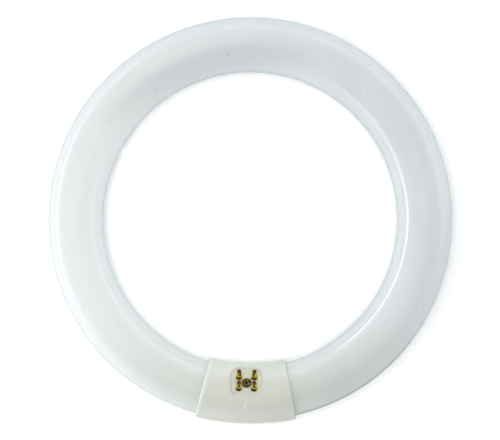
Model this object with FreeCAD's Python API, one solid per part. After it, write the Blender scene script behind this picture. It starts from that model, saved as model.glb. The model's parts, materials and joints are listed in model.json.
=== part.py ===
import FreeCAD, Part
import math
import os
from FreeCAD import Placement, Rotation, Vector

# Circular fluorescent tube: a ring of coated glass whose two ends meet in a moulded four-pin base.
# Units are millimetres. The ring lies flat: its axis is +Z, the base sits on the -Y side, and Z = 0 is the
# surface that the lamp lies on. The base's own frame has its origin in the middle of the base, X along the
# tube and Z along the pins, so its Z = 0 plane is the joint between the two moulded halves.

# Glass ring
RING_OUTER_DIAMETER = 212.0
TUBE_DIAMETER = 29.0
TUBE_END_DIAMETER = 28.2        # the glass draws in a little towards its two sealed ends
END_TAPER_LENGTH = 40.0         # stretch of the tube over which it draws in
END_LAND_BEYOND_BASE = 5.0      # even stretch that shows between the base and the taper
SEAL_LENGTH = 6.0               # straight stretch at each end that carries the seal
SEAL_SHOULDER_RADIUS = 4.0
STEM_MOUTH_RADIUS = 8.5         # re-entrant stem: its flare at the end of the tube
STEM_BORE_RADIUS = 4.8
STEM_FLARE_DEPTH = 4.0
STEM_DEPTH = 12.0
EXHAUST_TIP_RADIUS = 1.6        # sealed-off exhaust stub in the middle of the stem
EXHAUST_TIP_LENGTH = 9.0

# Moulded base
BASE_WALL = 1.4
BASE_CAVITY_CLEARANCE = 0.5     # between the glass and the wall inside the base
BASE_LIP_LENGTH = 2.5           # inward lip at each mouth that steadies the glass
BASE_LIP_CLEARANCE = 0.1
BASE_RIM_ROUNDING = 0.8
BASE_BEND_RELIEF = 16.5         # the base is bent to a larger radius than the ring by this much
TUBE_INSERTION = 11.3           # glass hidden inside each mouth
GLASS_END_CLEARANCE = 2.75      # between a sealed end and the pin block
JOINT_REVEAL = 0.2              # shadow gap along the joint between the halves
JOINT_TONGUE_HEIGHT = 1.2
JOINT_TONGUE_WIDTH = 0.6
JOINT_TONGUE_CLEARANCE = 0.1

# Pin pocket in the front half
PIN_TILT = 29.0                 # degrees that the pins lean in towards the ring's centre
POCKET_LENGTH = 15.7            # along the tube, at the floor
POCKET_WIDTH = 17.3             # across the tube, at the floor
POCKET_CORNER_RADIUS = 4.9
POCKET_DRAFT = 12.0             # degrees that the pocket's walls lean out
POCKET_DEPTH = 3.0
POCKET_FLOOR_ROUNDING = 1.5
POCKET_RIM_ROUNDING = 0.6
POCKET_FLOOR_THICKNESS = 2.2

# Contact pins, four on a rectangle
PIN_SPACING_LENGTH = 7.92
PIN_SPACING_WIDTH = 6.35
PIN_RADIUS = 1.19
PIN_HEIGHT = 7.5
PIN_TIP_ROUNDING = 0.3
PIN_BORE_RADIUS = 0.55
PIN_MOUTH_LAND = 0.08           # flat left at the tip between the rounding and the opened-out bore
PIN_MOUTH_DEPTH = 0.5
PIN_FLANGE_RADIUS = 1.75        # bead that seats the pin on the pocket's floor
PIN_FLANGE_THICKNESS = 1.1
PIN_RIVET_RADIUS = 1.7
PIN_RIVET_THICKNESS = 0.5
PIN_HOLE_CLEARANCE = 0.05
CRIMP_RADIUS = 0.6              # ball-ended dent along the pin that grips the lead wire
CRIMP_DEPTH = 0.35
CRIMP_LENGTH = 1.4              # between the middles of its two round ends
CRIMP_HEIGHT = 5.5
CRIMP_TURN_INNER_ROW = 33.0     # degrees from the outer side of the ring towards the other column
CRIMP_TURN_OUTER_ROW = 0.0

# Screw that holds the halves together
SCREW_HEAD_RADIUS = 2.7
SCREW_HEAD_HEIGHT = 1.4
SCREW_HEAD_ROUNDING = 0.7
SCREW_HEAD_CLEARANCE = 0.15     # around the head in its counterbore
SCREW_SEAT_DEPTH = 1.05         # depth of that counterbore under the pocket's floor
SCREW_SHANK_RADIUS = 1.45
SCREW_LENGTH = 20.0
SCREW_POINT_LENGTH = 1.5
SCREW_CLEARANCE = 0.05
SCREW_HOLE_CLEARANCE = 0.15
CROSS_LENGTH = 3.1
CROSS_WIDTH = 0.75
CROSS_DEPTH = 1.1
CROSS_TURN = 15.0               # degrees that the tightened screw's cross is turned by
CROSS_TAPER = 0.6               # the flutes narrow to this share of their length at the bottom
BOSS_PIN_CLEARANCE = 0.3        # between the boss and the pins' rivet heads
BOSS_RIB_THICKNESS = 1.2
BOSS_BLIND_DEPTH = 2.0          # depth of the pilot hole past the screw's point

# Lead wires from the stems to the pins
LEAD_RADIUS = 0.35
LEAD_SPACING = 5.8              # between the two leads of one stem
LEAD_STRAIGHT_BELOW_PIN = 6.0
LEAD_BEND_RADIUS = 5.0
LEAD_TIP_SETBACK = 0.6          # the wire stops this far inside the pin's tip

# Places worked out from the sizes above
tube_radius = TUBE_DIAMETER / 2
tube_end_radius = TUBE_END_DIAMETER / 2
ring_radius = RING_OUTER_DIAMETER / 2 - tube_radius
cavity_radius = tube_end_radius + BASE_CAVITY_CLEARANCE
base_radius = cavity_radius + BASE_WALL
ring_plane = base_radius
glass_half_gap = POCKET_LENGTH / 2 + BASE_WALL + GLASS_END_CLEARANCE
base_half_length = glass_half_gap + TUBE_INSERTION
base_bend_radius = ring_radius + BASE_BEND_RELIEF
pocket_floor = base_radius - POCKET_DEPTH
pocket_underside = pocket_floor - POCKET_FLOOR_THICKNESS
screw_seat = pocket_floor - SCREW_SEAT_DEPTH
boss_radius = math.hypot(PIN_SPACING_LENGTH, PIN_SPACING_WIDTH) / 2 - PIN_RIVET_RADIUS - BOSS_PIN_CLEARANCE
beyond_everything = RING_OUTER_DIAMETER
surface_tolerance = 0.01


def bend_centre():
    """Y of the base's bend axis: at the middle of each lip the base is centred on the glass."""
    lip_angle = (base_half_length - BASE_LIP_LENGTH / 2) / base_bend_radius
    half_chord = base_bend_radius * math.sin(lip_angle)
    return base_bend_radius * math.cos(lip_angle) - math.sqrt(ring_radius ** 2 - half_chord ** 2)


base_bend_y = bend_centre()
base_frame = Placement(
    Vector(0, base_bend_y - base_bend_radius, ring_plane),
    Rotation(Vector(1, 0, 0), -PIN_TILT),
)


def in_base(shape):
    """Moves a shape that was drawn in the base's own frame to its place in the lamp."""
    placed = shape.copy()
    placed.Placement = base_frame.multiply(placed.Placement)
    return placed


def point_in_base(x, y, z):
    return base_frame.multVec(Vector(x, y, z))


def bent_rod(radius, bend_radius, bend_y, start_length, end_length):
    """Round rod along an arc about a vertical axis; lengths run along the arc from the middle of the base."""
    start_angle = math.degrees(start_length / bend_radius)
    sweep_angle = math.degrees((end_length - start_length) / bend_radius)
    middle = Vector(0, bend_y - bend_radius, ring_plane)
    disc = Part.Face(Part.Wire(Part.makeCircle(radius, middle, Vector(1, 0, 0))))
    axis_point = Vector(0, bend_y, 0)
    disc.rotate(axis_point, Vector(0, 0, 1), start_angle)
    return disc.revolve(axis_point, Vector(0, 0, 1), sweep_angle)


def base_rod(radius, half_length):
    return bent_rod(radius, base_bend_radius, base_bend_y, -half_length, half_length)


def revolved(points_and_arcs):
    """Solid of revolution about Z from a closed list of edges in the XZ plane."""
    profile = Part.Face(Part.Wire(points_and_arcs))
    return profile.revolve(Vector(0, 0, 0), Vector(0, 0, 1), 360)


def line(r1, z1, r2, z2):
    return Part.makeLine(Vector(r1, 0, z1), Vector(r2, 0, z2))


def quarter_round(start, end, radius):
    """Convex quarter circle between two (r, z) points that lie on its level and upright tangents."""
    corner_r = max(start[0], end[0])
    corner_z = start[1] if start[0] < end[0] else end[1]
    upward = max(start[1], end[1]) == corner_z
    centre_z = corner_z - radius if upward else corner_z + radius
    centre_r = corner_r - radius
    reach = radius / math.sqrt(2)
    middle = Vector(centre_r + reach, 0, centre_z + (reach if upward else -reach))
    return Part.Arc(Vector(start[0], 0, start[1]), middle, Vector(end[0], 0, end[1])).toShape()


# Glass tube
def ring_section(length, radius):
    """Circle across the tube at a length along the ring from the middle of the base."""
    circle = Part.Wire(Part.makeCircle(radius, Vector(0, -ring_radius, ring_plane), Vector(1, 0, 0)))
    circle.rotate(Vector(0, 0, 0), Vector(0, 0, 1), math.degrees(length / ring_radius))
    return circle


def ring_arc(start_length, end_length):
    arc = Part.makeCircle(
        ring_radius,
        Vector(0, 0, ring_plane),
        Vector(0, 0, 1),
        math.degrees(start_length / ring_radius) - 90,
        math.degrees(end_length / ring_radius) - 90,
    )
    return Part.Wire(arc)


def end_taper(land_end, taper_end):
    """Stretch that swells smoothly from the end's diameter to the ring's own."""
    pipe = Part.BRepOffsetAPI.MakePipeShell(ring_arc(land_end, taper_end))
    stations = 5
    for step in range(stations):
        share = step / (stations - 1)
        ease = share * share * (3 - 2 * share)
        radius = tube_end_radius + ease * (tube_radius - tube_end_radius)
        pipe.add(ring_section(land_end + share * (taper_end - land_end), radius), False, False)
    pipe.build()
    pipe.makeSolid()
    return pipe.shape()


def seal_frame():
    """Frame at the right-hand end of the bent glass, with Z out along the tube towards the base's middle."""
    angle = (glass_half_gap + SEAL_LENGTH) / ring_radius
    origin = Vector(ring_radius * math.sin(angle), -ring_radius * math.cos(angle), ring_plane)
    outward = Vector(-math.cos(angle), -math.sin(angle), 0)
    across = Vector(0, 0, 1)
    return Placement(origin, Rotation(across, outward.cross(across), outward, "ZXY"))


def seal_body():
    """Straight end of the tube with its rounded shoulder."""
    shoulder_start = SEAL_LENGTH - SEAL_SHOULDER_RADIUS
    return revolved([
        line(0, 0, tube_end_radius, 0),
        line(tube_end_radius, 0, tube_end_radius, shoulder_start),
        quarter_round((tube_end_radius, shoulder_start),
                      (tube_end_radius - SEAL_SHOULDER_RADIUS, SEAL_LENGTH), SEAL_SHOULDER_RADIUS),
        line(tube_end_radius - SEAL_SHOULDER_RADIUS, SEAL_LENGTH, 0, SEAL_LENGTH),
        line(0, SEAL_LENGTH, 0, 0),
    ])


def stem_hollow():
    """Re-entrant stem, open at the end of the tube: a flare that narrows into a round bore."""
    flare_bottom = SEAL_LENGTH - STEM_FLARE_DEPTH
    stem_bottom = SEAL_LENGTH - STEM_DEPTH
    return revolved([
        line(0, stem_bottom, STEM_BORE_RADIUS, stem_bottom),
        line(STEM_BORE_RADIUS, stem_bottom, STEM_BORE_RADIUS, flare_bottom),
        line(STEM_BORE_RADIUS, flare_bottom, STEM_MOUTH_RADIUS, SEAL_LENGTH),
        line(STEM_MOUTH_RADIUS, SEAL_LENGTH, 0, SEAL_LENGTH),
        line(0, SEAL_LENGTH, 0, stem_bottom),
    ])


def exhaust_tip():
    bottom = SEAL_LENGTH - STEM_DEPTH
    top = bottom + EXHAUST_TIP_LENGTH
    round_start = top - EXHAUST_TIP_RADIUS
    return revolved([
        line(0, bottom, EXHAUST_TIP_RADIUS, bottom),
        line(EXHAUST_TIP_RADIUS, bottom, EXHAUST_TIP_RADIUS, round_start),
        quarter_round((EXHAUST_TIP_RADIUS, round_start), (0, top), EXHAUST_TIP_RADIUS),
        line(0, top, 0, bottom),
    ])


def mirrored(shape):
    """The same shape on the other side of the lamp's middle plane."""
    return shape.mirror(Vector(0, 0, 0), Vector(1, 0, 0))


def glass_tube():
    bend_end = glass_half_gap + SEAL_LENGTH
    land_end = base_half_length + END_LAND_BEYOND_BASE
    taper_end = land_end + END_TAPER_LENGTH
    far_end = 2 * math.pi * ring_radius - taper_end
    tube = bent_rod(tube_radius, ring_radius, 0, taper_end, far_end)
    right_end = [
        end_taper(land_end, taper_end),
        bent_rod(tube_end_radius, ring_radius, 0, bend_end, land_end),
    ]
    body = seal_body()
    body.Placement = seal_frame()
    right_end.append(body)
    tube = tube.fuse(right_end + [mirrored(piece) for piece in right_end])
    hollow = stem_hollow()
    hollow.Placement = seal_frame()
    tip = exhaust_tip()
    tip.Placement = seal_frame()
    tube = tube.cut([hollow, mirrored(hollow)]).fuse([tip, mirrored(tip)])
    return tube.removeSplitter()


# Base halves
def half_space(from_z, to_z):
    """Slab of the base's own frame between two heights above the joint plane."""
    slab = Part.makeBox(
        beyond_everything, beyond_everything, to_z - from_z,
        Vector(-beyond_everything / 2, -beyond_everything / 2, from_z),
    )
    return in_base(slab)


def base_solid():
    """Outer form of the whole base: a bent rod with rounded rims."""
    rod = base_rod(base_radius, base_half_length)
    rims = [edge for edge in rod.Edges
            if edge.Curve.TypeId == "Part::GeomCircle" and abs(edge.Curve.Radius - base_radius) < 1e-6
            and edge.Closed]
    return rod.makeFillet(BASE_RIM_ROUNDING, rims)


def base_hollow():
    """Room inside the base: the wide cavity, and the narrower mouths that the glass passes through."""
    cavity = base_rod(cavity_radius, base_half_length - BASE_LIP_LENGTH)
    mouth_radius = tube_end_radius + BASE_LIP_CLEARANCE
    mouth = bent_rod(mouth_radius, ring_radius, 0, glass_half_gap, base_half_length + END_LAND_BEYOND_BASE)
    return cavity.fuse([mouth, mirrored(mouth)])


def rounded_rectangle(length, width, corner_radius, z):
    """Closed wire in the base's frame, drawn from straight edges and quarter circles."""
    x = length / 2
    y = width / 2
    reach = corner_radius * (1 - 1 / math.sqrt(2))
    edges = []
    for turn in range(4):
        swap = turn % 2 == 1
        a, b = (y, x) if swap else (x, y)
        side = Part.makeLine(Vector(a, -b + corner_radius, z), Vector(a, b - corner_radius, z))
        corner = Part.Arc(
            Vector(a, b - corner_radius, z),
            Vector(a - reach, b - reach, z),
            Vector(a - corner_radius, b, z),
        ).toShape()
        for edge in (side, corner):
            edge.rotate(Vector(0, 0, 0), Vector(0, 0, 1), 90 * turn)
            edges.append(edge)
    return Part.Wire(edges)


def drafted_block(bottom_z, top_z, grow):
    """Rounded rectangle that widens as it rises: the pocket's size at its floor, plus some growth."""
    wires = []
    for z in (bottom_z, top_z):
        offset = (z - pocket_floor) * math.tan(math.radians(POCKET_DRAFT)) + grow
        wires.append(rounded_rectangle(
            POCKET_LENGTH + 2 * offset, POCKET_WIDTH + 2 * offset, POCKET_CORNER_RADIUS + offset, z))
    return Part.makeLoft(wires, True, True)


def pocket_space():
    """Room that the pocket takes out of the front half, with a rounded foot all round its floor."""
    block = drafted_block(pocket_floor, base_radius + POCKET_DEPTH, 0)
    foot = [edge for edge in block.Edges if abs(edge.BoundBox.ZMax - pocket_floor) < surface_tolerance]
    return in_base(block.makeFillet(POCKET_FLOOR_ROUNDING, foot))


def round_pocket_rim(front, pocket, solid):
    """Rounds the edges where the pocket breaks through the outer surface of the base."""
    rim = []
    for edge in front.Edges:
        middle = edge.valueAt((edge.FirstParameter + edge.LastParameter) / 2)
        in_pocket = pocket.isInside(middle, surface_tolerance, True)
        under_surface = solid.isInside(middle, surface_tolerance, False)
        if in_pocket and not under_surface:
            rim.append(edge)
    return front.makeFillet(POCKET_RIM_ROUNDING, rim)


def pin_places():
    """(x, y) of each contact pin in the base's frame, by name; +Y is the side towards the ring's centre."""
    x = PIN_SPACING_LENGTH / 2
    y = PIN_SPACING_WIDTH / 2
    return {
        "inner_left": (-x, y),
        "inner_right": (x, y),
        "outer_left": (-x, -y),
        "outer_right": (x, -y),
    }


def base_front():
    """Front half: shell, pin block, drafted pocket, and holes for the pins and the screw."""
    solid = base_solid()
    shell = solid.cut(base_hollow())
    block = in_base(drafted_block(pocket_underside, base_radius, BASE_WALL)).common(solid)
    front = shell.fuse(block).common(half_space(0, beyond_everything))
    groove_radius = cavity_radius + JOINT_TONGUE_WIDTH + JOINT_TONGUE_CLEARANCE
    groove_half_length = base_half_length - BASE_LIP_LENGTH + JOINT_TONGUE_CLEARANCE
    groove = base_rod(groove_radius, groove_half_length).common(half_space(0, JOINT_TONGUE_HEIGHT))
    pocket = pocket_space()
    front = front.cut([groove, pocket])
    through = POCKET_FLOOR_THICKNESS * 2
    start = pocket_floor - POCKET_FLOOR_THICKNESS * 1.5
    holes = [
        in_base(Part.makeCylinder(PIN_RADIUS + PIN_HOLE_CLEARANCE, through, Vector(x, y, start)))
        for x, y in pin_places().values()
    ]
    holes.append(in_base(Part.makeCylinder(
        SCREW_SHANK_RADIUS + SCREW_HOLE_CLEARANCE, through, Vector(0, 0, start))))
    holes.append(in_base(Part.makeCylinder(
        SCREW_HEAD_RADIUS + SCREW_HEAD_CLEARANCE, through, Vector(0, 0, screw_seat))))
    return round_pocket_rim(front.cut(holes).removeSplitter(), pocket, solid)


def screw_boss():
    """Pillar in the rear half that carries the pin block and takes the screw, with ribs to the side walls."""
    height = pocket_underside + base_radius
    pillar = Part.makeCylinder(boss_radius, height, Vector(0, 0, -base_radius))
    rib = Part.makeBox(
        BOSS_RIB_THICKNESS, 2 * base_radius, base_radius - JOINT_TONGUE_HEIGHT,
        Vector(-BOSS_RIB_THICKNESS / 2, -base_radius, -base_radius),
    )
    return in_base(pillar.fuse(rib))


def base_rear():
    """Rear half: shell, tongue along the joint, and the screw's boss with its pilot hole."""
    solid = base_solid()
    shell = solid.cut(base_hollow()).common(half_space(-beyond_everything, -JOINT_REVEAL))
    tongue_half_length = base_half_length - BASE_LIP_LENGTH
    tongue = base_rod(cavity_radius + JOINT_TONGUE_WIDTH, tongue_half_length)
    tongue = tongue.cut(base_rod(cavity_radius, tongue_half_length))
    tongue = tongue.common(half_space(-JOINT_TONGUE_HEIGHT, JOINT_TONGUE_HEIGHT))
    rear = shell.fuse([tongue, screw_boss().common(solid)])
    pilot_top = pocket_underside
    pilot_bottom = screw_seat - SCREW_LENGTH - BOSS_BLIND_DEPTH
    pilot = Part.makeCylinder(
        SCREW_SHANK_RADIUS + SCREW_CLEARANCE, pilot_top - pilot_bottom, Vector(0, 0, pilot_bottom))
    return rear.cut(in_base(pilot)).removeSplitter()


# Contact pins
def crimp_dent(angle):
    """Ball-ended groove beside a pin that stands on the origin, on the side that the angle points to."""
    reach = PIN_RADIUS + CRIMP_RADIUS - CRIMP_DEPTH
    lower_end = Vector(reach, 0, CRIMP_HEIGHT - CRIMP_LENGTH / 2)
    upper_end = Vector(reach, 0, CRIMP_HEIGHT + CRIMP_LENGTH / 2)
    groove = Part.makeCylinder(CRIMP_RADIUS, CRIMP_LENGTH, lower_end)
    groove = groove.fuse([Part.makeSphere(CRIMP_RADIUS, end) for end in (lower_end, upper_end)])
    groove.rotate(Vector(0, 0, 0), Vector(0, 0, 1), angle)
    return groove


def contact_pin(x, y):
    """Hollow brass pin: rivet head under the pocket's floor, beaded flange on it, and a rounded open tip."""
    rivet_bottom = -POCKET_FLOOR_THICKNESS - PIN_RIVET_THICKNESS
    bead_radius = PIN_FLANGE_RADIUS - PIN_RADIUS
    bead_start = PIN_FLANGE_THICKNESS - bead_radius
    round_start = PIN_HEIGHT - PIN_TIP_ROUNDING
    tip_radius = PIN_RADIUS - PIN_TIP_ROUNDING
    mouth_radius = tip_radius - PIN_MOUTH_LAND
    pin = revolved([
        line(PIN_BORE_RADIUS, rivet_bottom, PIN_RIVET_RADIUS, rivet_bottom),
        line(PIN_RIVET_RADIUS, rivet_bottom, PIN_RIVET_RADIUS, -POCKET_FLOOR_THICKNESS),
        line(PIN_RIVET_RADIUS, -POCKET_FLOOR_THICKNESS, PIN_RADIUS, -POCKET_FLOOR_THICKNESS),
        line(PIN_RADIUS, -POCKET_FLOOR_THICKNESS, PIN_RADIUS, 0),
        line(PIN_RADIUS, 0, PIN_FLANGE_RADIUS, 0),
        line(PIN_FLANGE_RADIUS, 0, PIN_FLANGE_RADIUS, bead_start),
        quarter_round((PIN_FLANGE_RADIUS, bead_start), (PIN_RADIUS, PIN_FLANGE_THICKNESS), bead_radius),
        line(PIN_RADIUS, PIN_FLANGE_THICKNESS, PIN_RADIUS, round_start),
        quarter_round((PIN_RADIUS, round_start), (tip_radius, PIN_HEIGHT), PIN_TIP_ROUNDING),
        line(tip_radius, PIN_HEIGHT, mouth_radius, PIN_HEIGHT),
        line(mouth_radius, PIN_HEIGHT, PIN_BORE_RADIUS, PIN_HEIGHT - PIN_MOUTH_DEPTH),
        line(PIN_BORE_RADIUS, PIN_HEIGHT - PIN_MOUTH_DEPTH, PIN_BORE_RADIUS, rivet_bottom),
    ])
    turn = CRIMP_TURN_INNER_ROW if y > 0 else CRIMP_TURN_OUTER_ROW
    towards_other_column = -1 if x > 0 else 1
    pin = pin.cut(crimp_dent(-90 + towards_other_column * turn))
    pin.translate(Vector(x, y, pocket_floor))
    return in_base(pin)


# Screw
def screw():
    """Pan-head screw with a cross recess; its head bears on the bottom of its counterbore."""
    round_start = SCREW_HEAD_HEIGHT - SCREW_HEAD_ROUNDING
    point_start = -SCREW_LENGTH + SCREW_POINT_LENGTH
    body = revolved([
        line(0, -SCREW_LENGTH, SCREW_SHANK_RADIUS, point_start),
        line(SCREW_SHANK_RADIUS, point_start, SCREW_SHANK_RADIUS, 0),
        line(SCREW_SHANK_RADIUS, 0, SCREW_HEAD_RADIUS, 0),
        line(SCREW_HEAD_RADIUS, 0, SCREW_HEAD_RADIUS, round_start),
        quarter_round((SCREW_HEAD_RADIUS, round_start),
                      (SCREW_HEAD_RADIUS - SCREW_HEAD_ROUNDING, SCREW_HEAD_HEIGHT), SCREW_HEAD_ROUNDING),
        line(SCREW_HEAD_RADIUS - SCREW_HEAD_ROUNDING, SCREW_HEAD_HEIGHT, 0, SCREW_HEAD_HEIGHT),
        line(0, SCREW_HEAD_HEIGHT, 0, -SCREW_LENGTH),
    ])
    cuts = []
    for turn in (CROSS_TURN, CROSS_TURN + 90):
        flute = tapered_flute()
        flute.rotate(Vector(0, 0, 0), Vector(0, 0, 1), turn)
        cuts.append(flute)
    body = body.cut(cuts)
    body.translate(Vector(0, 0, screw_seat))
    return in_base(body)


def tapered_flute():
    """One slot of the cross recess, shorter at its bottom than at its mouth."""
    wires = []
    for share, z in ((CROSS_TAPER, SCREW_HEAD_HEIGHT - CROSS_DEPTH), (1, SCREW_HEAD_HEIGHT)):
        x = CROSS_LENGTH / 2 * share
        y = CROSS_WIDTH / 2
        corners = [Vector(-x, -y, z), Vector(x, -y, z), Vector(x, y, z), Vector(-x, y, z)]
        wires.append(Part.makePolygon(corners + corners[:1]))
    return Part.makeLoft(wires, True, True)


# Lead wires
def rounded_path(points, radius):
    """Straight runs joined by tangent arcs of one radius."""
    edges = []
    start = points[0]
    for before, corner, after in zip(points, points[1:], points[2:]):
        arriving = (corner - before).normalize()
        leaving = (after - corner).normalize()
        half_turn = arriving.getAngle(leaving) / 2
        setback = radius * math.tan(half_turn)
        arc_start = corner - arriving * setback
        arc_end = corner + leaving * setback
        inward = (leaving - arriving).normalize()
        middle = corner + inward * (radius / math.cos(half_turn) - radius)
        edges.append(Part.makeLine(start, arc_start))
        edges.append(Part.Arc(arc_start, middle, arc_end).toShape())
        start = arc_end
    edges.append(Part.makeLine(start, points[-1]))
    return Part.Wire(edges)


def lead_wire(x, y):
    """Wire from the bottom of the right-hand stem, out of the glass, and up through one hollow pin."""
    frame = seal_frame()
    outward = frame.Rotation.multVec(Vector(0, 0, 1))
    across = base_frame.Rotation.multVec(Vector(0, math.copysign(1, y), 0))
    across = (across - outward * across.dot(outward)).normalize() * (LEAD_SPACING / 2)
    start = frame.Base + outward * (SEAL_LENGTH - STEM_DEPTH) + across
    leaving = frame.Base + outward * SEAL_LENGTH + across
    under_pin = point_in_base(x, y, pocket_underside - LEAD_STRAIGHT_BELOW_PIN)
    tip = point_in_base(x, y, pocket_floor + PIN_HEIGHT - LEAD_TIP_SETBACK)
    path = rounded_path([start, leaving, under_pin, tip], LEAD_BEND_RADIUS)
    section = Part.Wire(Part.makeCircle(LEAD_RADIUS, start, outward))
    wire = path.makePipeShell([section], True, True)
    expected = math.pi * LEAD_RADIUS ** 2 * path.Length
    print("lead wire: bends of radius %.1f, volume over section times length %.4f"
          % (LEAD_BEND_RADIUS, wire.Volume / expected))
    return wire


def main():
    os.makedirs("parts", exist_ok=True)
    nodes = {
        "glass_tube": glass_tube(),
        "base_front": base_front(),
        "base_rear": base_rear(),
        "base_screw": screw(),
    }
    for place, (x, y) in pin_places().items():
        nodes["contact_pin_" + place] = contact_pin(x, y)
        wire = lead_wire(abs(x), y)
        nodes["lead_wire_" + place] = wire if x > 0 else mirrored(wire)
    for name, shape in nodes.items():
        print("%-24s valid %s, solids %d, volume %.1f"
              % (name, shape.isValid(), len(shape.Solids), shape.Volume))
        shape.exportStep("parts/" + name + ".step")


main()
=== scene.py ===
# %% [markdown]
# A circular fluorescent tube, dressed for the camera.
# The construction model already holds every piece at its true size and place, so this lesson only adds what
# the eye needs: a smooth glass ring, finishes for plastic, brass and wire, a little dust, a floor, lamps and
# a camera. The model is loaded first and never moved. Whatever is added later is placed by measuring it.

# %% Load the construction model
import bmesh
import bpy
import json
import math
import random
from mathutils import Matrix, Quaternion, Vector


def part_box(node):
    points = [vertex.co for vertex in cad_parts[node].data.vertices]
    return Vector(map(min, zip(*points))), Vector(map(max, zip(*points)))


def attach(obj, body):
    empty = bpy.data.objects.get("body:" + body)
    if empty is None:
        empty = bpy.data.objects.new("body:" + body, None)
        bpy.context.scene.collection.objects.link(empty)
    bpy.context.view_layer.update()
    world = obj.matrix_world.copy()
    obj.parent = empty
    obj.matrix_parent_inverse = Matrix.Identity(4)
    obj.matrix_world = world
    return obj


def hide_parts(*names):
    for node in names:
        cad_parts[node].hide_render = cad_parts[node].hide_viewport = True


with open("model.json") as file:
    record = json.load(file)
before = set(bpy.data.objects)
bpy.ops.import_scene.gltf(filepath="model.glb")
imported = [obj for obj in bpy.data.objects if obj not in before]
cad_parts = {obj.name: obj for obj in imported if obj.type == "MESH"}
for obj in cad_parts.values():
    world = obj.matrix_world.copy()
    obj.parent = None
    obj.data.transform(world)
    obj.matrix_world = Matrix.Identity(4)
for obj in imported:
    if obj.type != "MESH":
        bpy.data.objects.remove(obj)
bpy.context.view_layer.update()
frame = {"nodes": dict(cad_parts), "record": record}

MM = 0.001
UP = Vector((0, 0, 1))
nodes = frame["nodes"]
print("pieces of the construction model:", ", ".join(sorted(nodes)))

# %% [markdown]
# The photograph looks straight down on the lamp as it lies. A camera could be aimed with a tracking
# constraint, but a camera with no rotation already looks down, so a small turn about the vertical is all it
# needs: the base sits a little left of the lowest point of the ring. The lens is long, because the ring shows
# hardly any perspective. It is worked out from the width of floor that the picture takes in at the middle
# height of the tube.

# %% Camera
glass_low, glass_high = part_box("glass_tube")
ring_height = (glass_low.z + glass_high.z) / 2
CAMERA_DISTANCE = 1000 * MM
PICTURE_SPAN = 262.3 * MM
PICTURE_TURN = math.radians(1.3)
PICTURE_MIDDLE = Vector((-0.13 * MM, -0.34 * MM, ring_height))
SENSOR_WIDTH_IN_MM = 36

camera_data = bpy.data.cameras.new("camera")
camera_data.sensor_width = SENSOR_WIDTH_IN_MM
camera_data.lens = SENSOR_WIDTH_IN_MM * CAMERA_DISTANCE / PICTURE_SPAN
camera = bpy.data.objects.new("camera", camera_data)
camera.location = PICTURE_MIDDLE + UP * CAMERA_DISTANCE
camera.rotation_euler = (0, 0, PICTURE_TURN)
bpy.context.scene.collection.objects.link(camera)
bpy.context.scene.camera = camera
bpy.context.scene.view_settings.view_transform = "Standard"
print("lens: %.1f mm, %.2f m above the floor" % (camera_data.lens, camera.location.z))

# %% [markdown]
# Two steps come back in every finish and in the room: a value that is spread smoothly from one range onto
# another, and a mix of two colours. Both are single nodes that could be set by hand in the shader editor. As
# functions they can be used on any node tree, and the long names of their sockets are written only once. The
# mix node keeps a set of sockets for each kind of value, so its colour sockets are picked by number.

# %% Two steps for any node tree
MIX_FIRST = 6
MIX_SECOND = 7
MIX_RESULT = 2


def smooth_range(tree, value, start, end, low, high):
    """Maps a stretch of one value smoothly onto another, and holds it at both ends."""
    step = tree.nodes.new("ShaderNodeMapRange")
    step.interpolation_type = "SMOOTHSTEP"
    numbers = {"From Min": start, "From Max": end, "To Min": low, "To Max": high}
    for socket, number in numbers.items():
        step.inputs[socket].default_value = number
    tree.links.new(value, step.inputs["Value"])
    return step.outputs["Result"]


def colour_mix(tree, share, first, second):
    """Mixes two colours; each is a triple or the output of an earlier step."""
    mix = tree.nodes.new("ShaderNodeMix")
    mix.data_type = "RGBA"
    tree.links.new(share, mix.inputs["Factor"])
    for number, colour in ((MIX_FIRST, first), (MIX_SECOND, second)):
        if isinstance(colour, tuple):
            mix.inputs[number].default_value = (*colour, 1)
        else:
            tree.links.new(colour, mix.inputs[number])
    return mix.outputs[MIX_RESULT]


print("steps for any node tree: smooth range, colour mix")

# %% [markdown]
# A finish is a material whose colour, roughness and fine relief vary a little over the surface, as every real
# surface does. Each could be wired by hand in the shader editor. Because all the finishes here are built from
# the same few steps, a small class gives those steps plain names: grain, spread of a value, blend of two
# colours, relief. Grain sizes are given in metres, so that a speckle stays as coarse as the real one whatever
# it is put on.

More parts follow.
